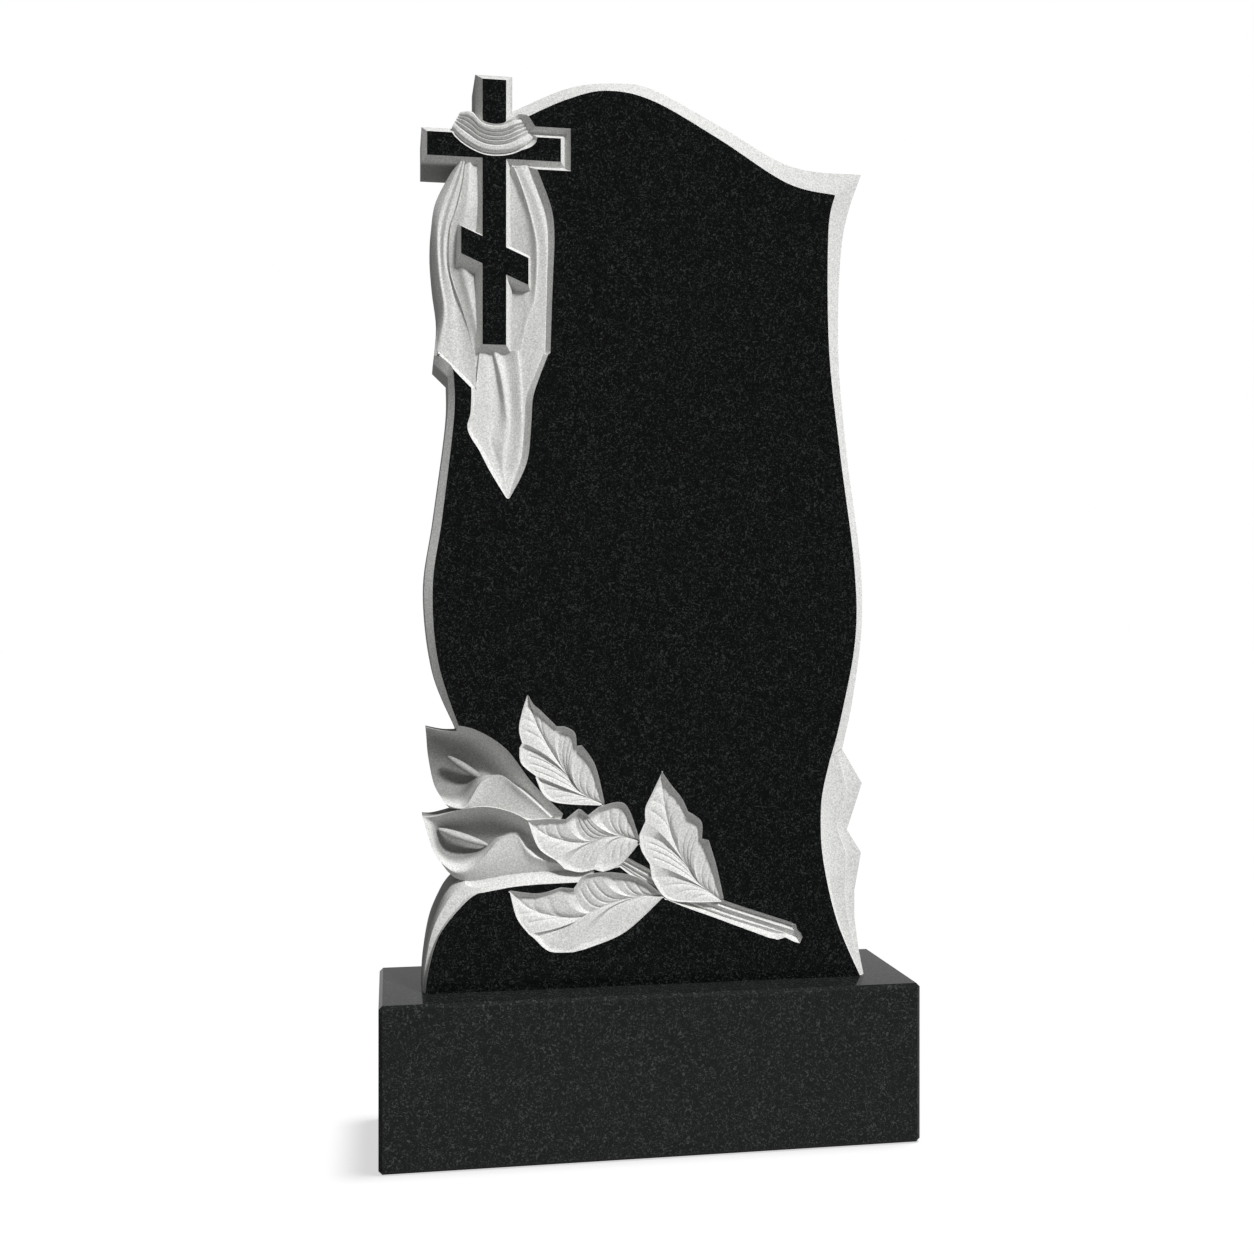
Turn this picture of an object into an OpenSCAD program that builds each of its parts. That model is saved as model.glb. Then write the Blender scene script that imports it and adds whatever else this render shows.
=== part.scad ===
// Gravestone: a carved stele standing on a plain plinth.
// Units are millimetres. X runs across the front, Y runs from front to back, Z is up.
// The origin is the middle of the plinth's underside.

/* [Plinth] */
// How far the plinth reaches past the stele's foot on each side
plinth_side = 50; // [20:1:90]
// Depth of the plinth from front to back
plinth_d = 178.5; // [140:0.5:230]
// Height of the plinth
plinth_h = 178.5; // [120:0.5:240]
// Width of the small chamfer on every plinth edge
plinth_chamfer = 4; // [2:0.5:8]

/* [Stele] */
// Width of the stele at its foot
stele_w = 500; // [400:5:600]
// Height of the stele from the plinth to the top of its curved head
stele_h = 1008; // [800:4:1240]
// Thickness of the stele's slab
stele_t = 80; // [60:1:100]
// How far the polished face stands behind the plinth's front
face_setback = 44.3; // [30:0.1:60]
// Depth of the sloping edge round the polished face
edge_depth = 7; // [4:0.5:12]

/* [Cross] */
// Width of the flat top of each bar of the cross
bar_w = 26; // [18:1:34]
// Length of the crossbar, from end to end of its flat top
crossbar_l = 147; // [120:1:170]
// Width and depth of the sloping sides of the bars
bar_bevel = 7; // [4:0.5:8]
// How far the cross's flat top lies below the polished face
cross_sink = 3; // [1:0.5:5]

/* [Cloth] */
// Depth of the hollow that the cloth lies in
cloth_depth = 10; // [7:0.5:14]
// Width of the sloping wall round that hollow
cloth_wall = 6; // [4:0.5:9]
// How far the ends of the gathered cloth sink below its middle
swag_sink = 6; // [3:0.5:9]

/* [Flowers] */
// How deep a lily's throat is carved below the polished face
lily_depth = 26; // [14:1:32]
// Thickness of a lily where it reaches past the slab's edge
lily_t = 38; // [36:1:50]
// How deep a leaf's midrib is carved below the polished face
leaf_depth = 9; // [5:0.5:14]
// Width of the stem
stem_w = 20; // [12:1:26]

/* [Hidden] */

// The drawing that the carving's places are given on: its width and its height
drawing = [500, 1008];
face_y = -plinth_d / 2 + face_setback;
plinth_w = stele_w + 2 * plinth_side;
ball_facets = 12;
// How deep the cloth and the stem are rooted in the slab
root = 16;

// ---- curves, in the plane of the face ----

// A place on the drawing, moved with the stele's width and height
function at(p) = [for (i = [0:len(p) - 1]) i < 2 ? p[i] * (i == 0 ? stele_w : stele_h) / drawing[i] : p[i]];
function all_at(points) = [for (p = points) at(p)];

// A smooth curve through points, at a share t of its way
function smooth(a, b, c, d, t) =
    (2 * b + (c - a) * t + (2 * a - 5 * b + 4 * c - d) * t * t + (3 * b - a - 3 * c + d) * t * t * t) / 2;
function along(p, t) =
    let (last = len(p) - 1, i = min(floor(t * last), last - 1))
    smooth(p[max(i - 1, 0)], p[i], p[i + 1], p[min(i + 2, last)], t * last - i);
function curve(p, n) = [for (k = [0:n - 1]) along(p, k / n)];

// A place or a number between two others
function between(a, b, share) = a + (b - a) * share;

// A closed outline moved inwards by d, with mitred corners; it runs anticlockwise
function unit(v) = v / max(norm(v), 0.001);
function left_of(v) = [-v[1], v[0]];
function flat(v) = [v[0], v[1]];
function inset(p, d) =
    let (n = len(p))
    [for (i = [0:n - 1])
        let (a = left_of(unit(p[i] - p[(i + n - 1) % n])), b = left_of(unit(p[(i + 1) % n] - p[i])))
        p[i] + d * (a + b) / (1 + a * b)];

// ---- solids from outlines ----

// A point of the face's plane, at a height above the polished face
function on_face(p, height) = [p[0], face_y - height, p[1]];

// A closed solid through rings of equal length, each with its own height, from front to back
module stack(rings, heights) {
    n = len(rings[0]);
    last = len(rings) - 1;
    points = [for (r = [0:last], p = rings[r]) on_face(p, heights[r])];
    front = [for (i = [n - 1:-1:0]) i];
    back = [for (i = [0:n - 1]) last * n + i];
    sides = [for (r = [0:last - 1], i = [0:n - 1])
        let (j = (i + 1) % n)
        each [[r * n + i, r * n + j, (r + 1) * n + j], [r * n + i, (r + 1) * n + j, (r + 1) * n + i]]];
    polyhedron(points, concat([front, back], sides), convexity = 10);
}

// A carved surface, closed at a depth below the face. Its lines of [x, z, height] follow each other
// on the right hand side of the way that they run.
module carved(lines, depth) {
    rows = len(lines);
    n = len(lines[0]);
    size = rows * n;
    function id(r, c) = r * n + c;
    front = [for (l = lines, p = l) on_face(p, p[2])];
    back = [for (l = lines, p = l) on_face(p, -depth)];
    skin = [for (r = [0:rows - 2], c = [0:n - 2])
        each [[id(r, c), id(r, c + 1), id(r + 1, c + 1)], [id(r, c), id(r + 1, c + 1), id(r + 1, c)]]];
    under = [for (f = skin) [size + f[0], size + f[2], size + f[1]]];
    rim = concat(
        [for (c = [0:n - 2]) [id(0, c + 1), id(0, c)]],
        [for (r = [0:rows - 2]) [id(r, 0), id(r + 1, 0)]],
        [for (c = [0:n - 2]) [id(rows - 1, c), id(rows - 1, c + 1)]],
        [for (r = [rows - 2:-1:0]) [id(r + 1, n - 1), id(r, n - 1)]]);
    wall = [for (e = rim) each [[e[0], e[1], size + e[1]], [e[0], size + e[1], size + e[0]]]];
    polyhedron(concat(front, back), concat(skin, under, wall), convexity = 10);
}

// The same surface with a sloping wall all round it, which leads up to the polished face and is no
// wider than a limit. Inside the wall it lies a little deeper, so that the surface itself covers it.
seam = 0.5;
wall_least = 0.4;
wall_top = 0.2;
function walled(lines, limit) =
    let (last = len(lines) - 1, end = len(lines[0]) - 1)
    [for (r = [-1:last + 1]) [for (c = [-1:end + 1])
        let (
            i = min(max(r, 0), last),
            k = min(max(c, 0), end),
            p = lines[i][k],
            run = unit(flat(lines[i][min(k + 1, end)] - lines[i][max(k - 1, 0)])),
            step = unit(flat(lines[min(i + 1, last)][k] - lines[max(i - 1, 0)][k])),
            out = (i - r) * left_of(run) + (c - k) * left_of(step),
            wide = min(max(-p[2], wall_least), limit))
        norm(out) == 0 ? p - [0, 0, seam] : concat(flat(p) + unit(out) * wide, wall_top)]];

// Cuts the children down to a carved surface and fills them up to it again. A carving is its lines,
// the depth of its back and the limit of its wall.
module carve(carving) {
    pocket = walled(carving[0], carving[2]);
    difference() {
        children();
        carved([for (r = [len(pocket) - 1:-1:0]) pocket[r]], -1);
    }
    carved(carving[0], carving[1]);
}

// The first n carvings, one over the other
module carve_all(carvings, n) {
    if (n == 0) children();
    else carve(carvings[n - 1]) carve_all(carvings, n - 1) children();
}

// ---- the slab ----

// The polished face and the slab's outer edge, in matching runs from the right foot, anticlockwise
frond_edge = [[244, 0], [219, 57], [208, 95], [199, 141], [197, 177], [201, 220], [208, 249]];
frond_tips = [[251, 0], [242, 50], [239, 95], [248, 140], [231, 167], [236, 192], [249, 220]];
side_edge = [[209, 252], [220, 292], [238, 385], [237, 470], [220, 599], [207, 717], [206, 850], [214, 894]];
side_rim = [[225, 261], [237, 316], [248, 400], [246, 480], [230, 600], [220, 719], [225, 846], [247, 921]];
head_edge = [[214, 894], [157, 905], [77, 951], [2, 989], [-51, 997], [-96, 984], [-140, 962]];
head_rim = [[247, 921], [164, 926], [83, 966], [3, 1004], [-44, 1008], [-94, 999], [-154, 970]];
left_edge = [[-219, 673], [-219, 628], [-232, 518], [-242, 444], [-236, 362], [-211, 284]];
left_rim = [[-225, 675], [-226, 629], [-240, 522], [-251, 440], [-241, 350], [-215, 285]];
foot_edge = [[-175, 124], [-188, 110], [-207, 98], [-234, 65], [-246, 28], [-250, 0]];
foot_rim = [[-217, 118], [-228, 106], [-238, 87], [-245, 69], [-252, 23], [-253, 0]];
shoulder = [[-165, 955], [-190, 940]];

function slab_ring(frond, side, head, left, foot) = all_at(concat(
    frond, curve(side, 14), curve(head, 16), shoulder, left_cloth[0],
    curve(left, 12), [left[5]], curve(foot, 8), [foot[5]]));

module slab() {
    edge = slab_ring(frond_edge, side_edge, head_edge, left_edge, foot_edge);
    rim = slab_ring(frond_tips, side_rim, head_rim, left_rim, foot_rim);
    stack([edge, rim, rim], [0, -edge_depth, -stele_t]);
}

// ---- the cross ----

post_x = -174.5;
post_top = 1004;
post_foot = 711;
crossbar_z = 929;
slant_z = 809;
slant_half = 37;
slant_drop = 17;

// A bar's flat top, given by the middles of its two ends and its half width, anticlockwise
function bar_top(a, b, half) = concat([a - half, b - half], [b + half, a + half]);
cross_bars = let (
        middle = at([post_x, crossbar_z]),
        post_ends = [at([post_x, post_foot]), at([post_x, post_top])],
        slant = at([post_x, slant_z]),
        half = bar_w / 2)
    [bar_top(post_ends[0], post_ends[1], [-half, 0]),
     bar_top(middle - [crossbar_l / 2, 0], middle + [crossbar_l / 2, 0], [0, half]),
     bar_top(slant + [-slant_half, slant_drop], slant + [slant_half, -slant_drop], [0, half])];

// An outline's slice of the slab, between two heights
module slice(outline, top, bottom) {
    translate([0, face_y - bottom, 0]) rotate([90, 0, 0]) linear_extrude(top - bottom) polygon(outline);
}

function widened(outline, d) = inset(outline, -d);

module bar(outline) {
    skin = 0.1;
    hull() {
        slice(outline, -cross_sink, -cross_sink - skin);
        slice(widened(outline, bar_bevel), -cross_sink - bar_bevel, -stele_t);
    }
}

// The groove round the crossbar where it lies on the polished face
module bar_groove(outline) {
    floor_height = -cross_sink - bar_bevel + 1;
    flank = cross_sink + bar_bevel - 2;
    hull() {
        slice(widened(outline, bar_bevel + flank), 1, 0);
        slice(widened(outline, bar_bevel - 1), floor_height + 1, floor_height);
    }
}

// ---- the cloth ----

// The hollow in the polished face, from under the crossbar round the hanging ends
hollow_outline = concat(
    [[-270, 915], [-270, 702], [-237, 702]],
    curve([[-236, 702], [-219, 688], [-206, 673], [-197, 657]], 5),
    [[-197, 655], [-202, 617]],
    [[-189, 595], [-177, 572], [-160, 540]],
    curve([[-158, 545], [-148, 568], [-140, 600], [-138, 628], [-139, 650]], 6),
    curve([[-138, 652], [-124, 683], [-113, 705]], 3),
    curve([[-113, 708], [-113, 761], [-109, 815], [-116, 859], [-138, 912]], 8),
    [[-140, 915]]);

module hollow() {
    top = all_at(hollow_outline);
    bottom = inset(top, cloth_wall);
    stack([inset(top, -1), top, bottom], [1, 0, -cloth_depth]);
}

// A hanging end of the cloth: its left edge and its right edge, running down, and the heights of its
// folds from left to right, first at its top and then at its foot. A height is a share of the
// hollow's depth, from 0 at the hollow's floor to 1 at the polished face.
left_cloth = [
    [[-216, 905], [-241, 857], [-243, 812], [-236, 745], [-240, 701]],
    [[-203, 905], [-219, 855], [-221, 795], [-205, 740], [-195, 662]],
    [0.1, 0.5, 0.2, 0.6, 0.6],
    [0.2, 0.4, 0.5, 0.6, 0.7]];
inner_cloth = [
    [[-208, 905], [-220, 855], [-220, 795], [-204, 735], [-193, 665]],
    [[-190, 905], [-190, 850], [-190, 795], [-190, 740], [-186, 680]],
    [0.1, 0.5, 0.3, 0.4],
    [0, 0.3, 0.1, 0.1]];
right_cloth = [
    [[-160, 912], [-160, 850], [-160, 790], [-160, 720], [-150, 652]],
    [[-140, 912], [-113, 850], [-110, 790], [-115, 715], [-140, 651]],
    [0.6, 0.3, 0.8, 0.1, 0.1],
    [0.2, 0.5, 0.1, 0.6, 0.4]];
tail_cloth = [
    [[-196, 704], [-198, 655], [-202, 617], [-180, 577], [-162, 542]],
    [[-138, 704], [-137, 655], [-139, 612], [-148, 572], [-158, 542]],
    [0, 0.4, 0.1, 0.6, 0.2, 0.6, 0.1],
    [0.3, 0.4, 0.3, 0.4, 0.3, 0.5, 0.3]];
// How far the cloth's lowest folds dip under the hollow's floor, as a share of its depth
fold_dip = 0.04;
cloth_steps = 11;

// The cloth's lines run down, and carved() takes them from the last, on the right, to the first
function drape(cloth) =
    let (left = all_at(cloth[0]), right = all_at(cloth[1]), folds = len(cloth[2]) - 1)
    [for (i = [folds:-1:0]) [for (k = [0:cloth_steps])
        let (
            t = k / cloth_steps,
            p = between(along(left, t), along(right, t), i / folds),
            share = between(cloth[2][i], cloth[3][i], t))
        [p[0], p[1], (share - 1 - fold_dip) * cloth_depth]]];

module hanging_cloth() {
    for (cloth = [left_cloth, inner_cloth, right_cloth, tail_cloth]) carved(drape(cloth), root);
}

// The gathered cloth lies across the cross in hanging folds, and the slab is whole behind it.
// Its lower edge comes first in each pair: its left ends, its right ends and its lowest places.
swag_left = [[-220, 950], [-210, 965]];
swag_right = [[-130, 944], [-143, 964]];
swag_sag = [[-172, 921], [-175, 952]];
swag_folds = 5;
swag_steps = 12;
fold_steps = 4;
// Where the quarter of a fold hangs from the straight line between its end and its middle
quarter_sag = [2, -4];
// How deep the furrows between the folds are
swag_furrow = 2.5;

function swag_height(share, t) =
    -swag_furrow * (0.5 + 0.5 * cos(360 * swag_folds * share)) - swag_sink * pow(2 * t - 1, 4);

function swag_line(share) =
    let (
        left = between(swag_left[0], swag_left[1], share),
        right = between(swag_right[0], swag_right[1], share),
        middle = between(swag_sag[0], swag_sag[1], share),
        left_quarter = (left + middle) / 2 + quarter_sag,
        right_quarter = (right + middle) / 2 + [-quarter_sag[0], quarter_sag[1]],
        points = all_at([left, left_quarter, middle, right_quarter, right]))
    [for (k = [0:swag_steps])
        let (t = k / swag_steps, p = along(points, t))
        [p[0], p[1], swag_height(share, t)]];

swag = let (lines = swag_folds * fold_steps) [for (s = [lines:-1:0]) swag_line(s / lines)];

// ---- the flowers ----

// A lily's guide curves from its mouth to its tube, as [x, z, share of the throat's depth]: its top
// edge, its throat, the crest of its front petal and its lower edge
upper_lily = [
    [[-249, 290, 0.15], [-225, 287, 0.1], [-190, 282, 0.1], [-150, 246, 0.1], [-102, 191, 0.2]],
    [[-244, 250, 0.3], [-222, 246, 0.9], [-190, 237, 0.9], [-148, 222, 0.5], [-107, 189, 0.3]],
    [[-229, 208, 0.15], [-208, 207, 0.2], [-188, 231, 0.05], [-158, 230, 0.05], [-111, 188, 0.25]],
    [[-223, 202, 0.45], [-205, 199, 0.6], [-178, 200, 0.6], [-150, 193, 0.55], [-114, 184, 0.45]]];
lower_lily = [
    [[-253, 193, 0.15], [-225, 195, 0.15], [-180, 202, 0.1], [-135, 182, 0.1], [-75, 138, 0.3]],
    [[-246, 170, 0.2], [-226, 163, 0.9], [-190, 158, 0.95], [-138, 166, 0.6], [-75, 134, 0.45]],
    [[-234, 145, 0.1], [-208, 136, 0.15], [-184, 150, 0.05], [-150, 168, 0.05], [-75, 131, 0.45]],
    [[-217, 123, 0.4], [-200, 120, 0.6], [-172, 124, 0.6], [-132, 128, 0.6], [-75, 128, 0.55]]];
lily_steps = 10;
lily_across = 8;

function lily(guides) =
    [for (i = [0:lily_across]) [for (k = [0:lily_steps])
        let (
            t = k / lily_steps,
            p = along([for (g = guides) along(g, t)], i / lily_across))
        concat(flat(at(p)), -lily_depth * max(p[2], 0))]];

// The spadix in a lily's throat, from its tip over its fullest place to its root, with the size at
// each of them, and how deep it lies
spadix_d = [4, 7.5, 5];
spadix_sink = 9;
spadices = [[[-223, 257], [-208, 245], [-184, 227]], [[-227, 176], [-210, 170], [-180, 158]]];

module spadix(line) {
    points = all_at(line);
    for (k = [0, 1]) hull() for (i = [k, k + 1])
        translate(on_face(points[i], -spadix_sink)) sphere(d = spadix_d[i], $fn = ball_facets);
}

// The stem runs from behind the leaves to its cut end. Across it, from its upper side to its lower
// side, it has a height for each ridge and groove, and a length to its slanting end.
stem_line = [[-38, 141], [20, 108], [87, 80], [155, 56]];
stem_heights = [-9, -3, -6, -3, -6, -4];
stem_ends = [3, 8, 12, 16, 2, -16];
stem_steps = 8;

stem = let (last = len(stem_heights) - 1, side = left_of(unit(at(stem_line[3]) - at(stem_line[0]))))
    [for (i = [0:last]) [for (k = [0:stem_steps])
        let (
            t = k / stem_steps,
            end = at(stem_line[3] + [stem_ends[i], 0]),
            p = along(concat(all_at([for (j = [0:2]) stem_line[j]]), [end]), t))
        concat(p + side * stem_w * (0.5 - i / last), stem_heights[i])]];

// ---- the leaves ----

// A leaf: its midrib from base to tip, then the lobes of its left half and of its right half. A lobe
// is given by its start, its fullest place and its end.
leaves = [
    [[[-54, 203], [-77, 216], [-105, 253], [-127, 292], [-138, 326]],
     [[[-58, 202], [-112, 208], [-129, 233]], [[-129, 236], [-145, 250], [-147, 267]],
      [[-144, 272], [-149, 292], [-139, 324]]],
     [[[-53, 206], [-63, 246], [-78, 269]], [[-84, 268], [-86, 283], [-97, 290]],
      [[-106, 290], [-120, 310], [-137, 325]]]],
    [[[-14, 162], [-40, 166], [-77, 160], [-114, 168], [-138, 186]],
     [[[-15, 157], [-34, 136], [-54, 128]], [[-64, 131], [-80, 128], [-97, 132]],
      [[-107, 142], [-126, 156], [-137, 184]]],
     [[[-14, 165], [-30, 203], [-59, 200]], [[-71, 191], [-80, 198], [-85, 196]],
      [[-96, 187], [-114, 188], [-137, 188]]]],
    [[[16, 99], [-30, 95], [-78, 77], [-129, 85], [-158, 109]],
     [[[12, 96], [-30, 60], [-74, 43]], [[-88, 40], [-114, 42], [-131, 57]],
      [[-137, 62], [-150, 80], [-157, 107]]],
     [[[13, 102], [-16, 121], [-44, 127]], [[-58, 127], [-75, 124], [-87, 112]],
      [[-101, 113], [-126, 108], [-157, 111]]]],
    [[[82, 91], [56, 112], [30, 154], [17, 200], [13, 238]],
     [[[80, 90], [22, 94], [1, 119]], [[-1, 135], [-11, 152], [-13, 168]],
      [[-6, 183], [-3, 206], [12, 236]]],
     [[[83, 95], [75, 130], [66, 160]], [[58, 162], [58, 180], [49, 189]],
      [[42, 192], [34, 212], [14, 236]]]]];
// Where along the midrib the lobes of the left half and of the right half begin, from base to tip
lobe_starts = [[0.02, 0.16, 0.42, 0.98], [0.02, 0.28, 0.54, 0.98]];
lobe_steps = 5;
leaf_across = 4;
// How deep a leaf's left edge and right edge lie, as shares of its midrib's depth
leaf_edges = [0.12, 0.5];
// How much a lobe falls from its start to its end, and the midrib's least depth, at its ends
lobe_fall = 0.4;
midrib_least = 0.35;

// A line along one half of a leaf, 0 for the left and 1 for the right, at a share of the way out from
// its midrib to its edge
function leaf_line(l, half, out) =
    [for (k = [0:len(l[1]) - 1], i = [0:lobe_steps])
        let (
            share = i / lobe_steps,
            start = between(lobe_starts[half][k], lobe_starts[half][k + 1], share),
            p = between(along(l[0], start), along(l[1 + half][k], share), out),
            rib = between(midrib_least, 1, sin(180 * start)) * (1 - out),
            rim = (leaf_edges[half] + lobe_fall * share) * out)
        concat(at(p), -leaf_depth * (rib + rim))];

function leaf(l) = concat(
    [for (i = [leaf_across:-1:1]) leaf_line(l, 0, i / leaf_across)],
    [for (i = [0:leaf_across]) leaf_line(l, 1, i / leaf_across)]);

// ---- the pieces ----

carvings = concat(
    [[swag, stele_t, swag_sink], [lily(upper_lily), lily_t, lily_t], [lily(lower_lily), lily_t, lily_t],
     [stem, root, root]],
    [for (l = leaves) [leaf(l), lily_t, 0]]);

module stele() {
    color("#2a2b2b") translate([0, 0, plinth_h]) {
        carve_all(carvings, len(carvings)) union() {
            difference() {
                slab();
                hollow();
                bar_groove(cross_bars[1]);
            }
            for (outline = cross_bars) bar(outline);
            hanging_cloth();
        }
        for (line = spadices) spadix(line);
    }
}

// A block standing on the ground, drawn in by x, y and z from the plinth's full size
module inner_block(x, y, z) {
    translate([x - plinth_w / 2, y - plinth_d / 2, z])
        cube([plinth_w - 2 * x, plinth_d - 2 * y, plinth_h - 2 * z]);
}

module plinth() {
    c = plinth_chamfer;
    color("#232424") hull() {
        inner_block(0, c, c);
        inner_block(c, 0, c);
        inner_block(c, c, 0);
    }
}

stele();
plinth();
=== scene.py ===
# A carved granite gravestone: a stele with a draped cross, two lilies and leaves, on its plinth.
# The carving is sunk: it is cut into a slab whose face was polished first, so nothing stands
# proud of the face, and a sloping wall leads down to each carved part.
import math

import bmesh
import bpy
import numpy as np
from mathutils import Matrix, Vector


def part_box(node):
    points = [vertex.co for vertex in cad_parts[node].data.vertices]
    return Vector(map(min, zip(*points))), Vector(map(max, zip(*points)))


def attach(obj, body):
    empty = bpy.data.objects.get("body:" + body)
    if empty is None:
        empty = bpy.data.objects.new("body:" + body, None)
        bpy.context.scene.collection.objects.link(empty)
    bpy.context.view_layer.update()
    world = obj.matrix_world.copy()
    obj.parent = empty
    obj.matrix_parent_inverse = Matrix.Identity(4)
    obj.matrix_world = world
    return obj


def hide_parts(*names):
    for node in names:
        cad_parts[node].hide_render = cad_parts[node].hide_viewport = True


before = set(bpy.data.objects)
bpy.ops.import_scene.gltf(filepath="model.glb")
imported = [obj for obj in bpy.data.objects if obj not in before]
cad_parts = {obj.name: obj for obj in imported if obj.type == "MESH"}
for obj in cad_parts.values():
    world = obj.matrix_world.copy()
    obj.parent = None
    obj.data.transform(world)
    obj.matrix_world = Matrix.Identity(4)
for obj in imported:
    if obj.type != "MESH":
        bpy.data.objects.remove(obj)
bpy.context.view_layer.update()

# ---- places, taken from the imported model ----

MM = 0.001
SLAB_T = 80
FACE_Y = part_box("stele")[1].y - SLAB_T * MM
FOOT_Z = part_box("plinth")[1].z

# Everything below is given in millimetres on the polished face: x from the middle, z above the
# plinth, and the height out of the face, which is negative where the stone is carved away.
EDGE_DEPTH = 7
BAR_SINK = 3
# How far a cutting block reaches out of the face
FRONT = 6


def to_metres(places):
    """Places of (x, z, height) on the face, as metres in the shared frame."""
    p = np.asarray(places, float)
    return np.stack([p[..., 0] * MM, FACE_Y - p[..., 2] * MM, FOOT_Z + p[..., 1] * MM], axis=-1)


def curve(points, steps):
    """steps + 1 places along a smooth curve through the points."""
    p = np.array(points, float)
    last = len(p) - 1
    t = np.linspace(0, last, steps + 1)
    i = np.minimum(t.astype(int), last - 1)
    f = (t - i).reshape(-1, *[1] * (p.ndim - 1))
    a, b, c, d = p[np.maximum(i - 1, 0)], p[i], p[i + 1], p[np.minimum(i + 2, last)]
    return (2 * b + (c - a) * f + (2 * a - 5 * b + 4 * c - d) * f**2 + (3 * b - a - 3 * c + d) * f**3) / 2


def straight(points, steps):
    """steps + 1 places along straight lines between the points."""
    p = np.array(points, float)
    t = np.linspace(0, len(p) - 1, steps + 1)
    i = np.minimum(t.astype(int), len(p) - 2)
    f = (t - i).reshape(-1, *[1] * (p.ndim - 1))
    return p[i] * (1 - f) + p[i + 1] * f


# ---- modelling ----


def deselect():
    bpy.ops.object.select_all(action="DESELECT")


def edit():
    bpy.ops.object.mode_set(mode="EDIT")


def leave():
    bpy.ops.object.mode_set(mode="OBJECT")


def mesh_piece(name, points, faces):
    """A mesh drawn point by point, for outlines that no primitive starts from."""
    mesh = bpy.data.meshes.new(name)
    mesh.from_pydata(points, [], faces)
    piece = bpy.data.objects.new(name, mesh)
    bpy.context.scene.collection.objects.link(piece)
    return piece


def solid_volume(piece):
    """The volume inside the piece in edit mode, which is negative when its faces look inwards."""
    return bmesh.from_edit_mesh(piece.data).calc_volume(signed=True)


THIN = 1 * MM


def block(name, skin, flat):
    """A closed solid between a carved skin and a flat side at one height."""
    rows, columns = skin.shape[:2]
    deselect()
    bpy.ops.mesh.primitive_grid_add(x_subdivisions=columns - 1, y_subdivisions=rows - 1, size=1)
    piece = bpy.context.object
    piece.name = name
    piece.data.vertices.foreach_set("co", to_metres(skin).ravel())
    edit()
    bpy.ops.mesh.select_all(action="SELECT")
    bpy.ops.mesh.extrude_region_move(TRANSFORM_OT_translate={"value": (0, THIN, 0)})
    bpy.ops.transform.resize(value=(1, 0, 1), center_override=(0, FACE_Y - flat * MM, 0))
    bpy.ops.mesh.select_all(action="SELECT")
    if solid_volume(piece) < 0:
        bpy.ops.mesh.flip_normals()
    leave()
    return piece


def combine(stone, tool, operation):
    """Cuts a tool out of the stone, or joins it to it, and removes the tool."""
    modifier = stone.modifiers.new(tool.name, "BOOLEAN")
    modifier.operation = operation
    modifier.solver = "MANIFOLD"
    modifier.object = tool
    bpy.context.view_layer.objects.active = stone
    bpy.ops.object.modifier_apply(modifier=modifier.name)
    bpy.data.objects.remove(tool)


# How many places along a rim its direction is taken from
RIM_REACH = 2
WALL_LEAST = 0.3
WALL_TOP = 0.2


def flared(skin, slope):
    """The skin with a sloping wall all round it, which leads up to the polished face."""
    wide = np.pad(skin, ((1, 1), (1, 1), (0, 0)), mode="edge")
    rows, columns = wide.shape[:2]
    ring = [(0, c) for c in range(columns)] + [(r, columns - 1) for r in range(1, rows)]
    ring += [(rows - 1, c) for c in range(columns - 2, -1, -1)] + [(r, 0) for r in range(rows - 2, 0, -1)]
    edge = np.array([wide[r, c] for r, c in ring])
    along = np.roll(edge, -RIM_REACH, axis=0)[:, :2] - np.roll(edge, RIM_REACH, axis=0)[:, :2]
    length = np.maximum(np.hypot(*along.T), 1e-6)[:, None]
    area = np.sum(edge[:, 0] * np.roll(edge[:, 1], -1) - edge[:, 1] * np.roll(edge[:, 0], -1))
    outward = np.stack([along[:, 1], -along[:, 0]], axis=-1) / length * np.sign(area)
    run = np.maximum(-edge[:, 2:] * slope, WALL_LEAST)
    for (r, c), place, side, out in zip(ring, edge, outward, run):
        wide[r, c] = [*(place[:2] + side * out), WALL_TOP]
    return wide


# How much deeper a cut is than the skin that fills it, so that no two faces coincide
SEAM = 0.15


def carve(stone, name, skin, slope=1.0, depth=40):
    """Cuts the stone down to a carved skin, with walls round it, and fills it up to the skin."""
    lowered = skin - [0, 0, SEAM]
    combine(stone, block(name + "_cut", flared(lowered, slope), FRONT), "DIFFERENCE")
    combine(stone, block(name, skin, -depth), "UNION")


def drape(guides, along, across, between=curve):
    """A carved skin through guide curves of (x, z, height), round or creased between them."""
    lines = np.array([curve(guide, along) for guide in guides])
    return between(lines, across)


# ---- the slab ----

# Each run of the outline goes anticlockwise from the right foot: the polished face's edge, the
# slab's rim, and the shape of the edge between them as (share of its width, height)
SLOPE = [(0.3, -0.3 * EDGE_DEPTH), (0.6, -0.6 * EDGE_DEPTH), (0.9, -0.9 * EDGE_DEPTH), (1, -EDGE_DEPTH)]
FROND = [(0.12, -3.5), (0.6, -4.5), (0.64, -7), (1, -9)]
FOOT = [(0.1, -5), (0.76, -7), (0.79, -8), (1, -15)]
HEAD = [(214, 894), (157, 905), (77, 951), (2, 989), (-51, 997), (-96, 984), (-140, 962)]
HEAD_RIM = [(247, 921), (164, 926), (83, 966), (3, 1004), (-44, 1008), (-94, 999), (-154, 970)]
SIDE = [(209, 252), (220, 292), (238, 385), (237, 470), (220, 599), (207, 717), (206, 850), (214, 894)]
SIDE_RIM = [(225, 261), (237, 316), (248, 400), (246, 480), (230, 600), (220, 719), (225, 846), (247, 921)]
TIPS = [(244, 0), (230, 30), (217, 62), (207, 98), (199, 141), (197, 177), (199, 210), (208, 249)]
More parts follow.
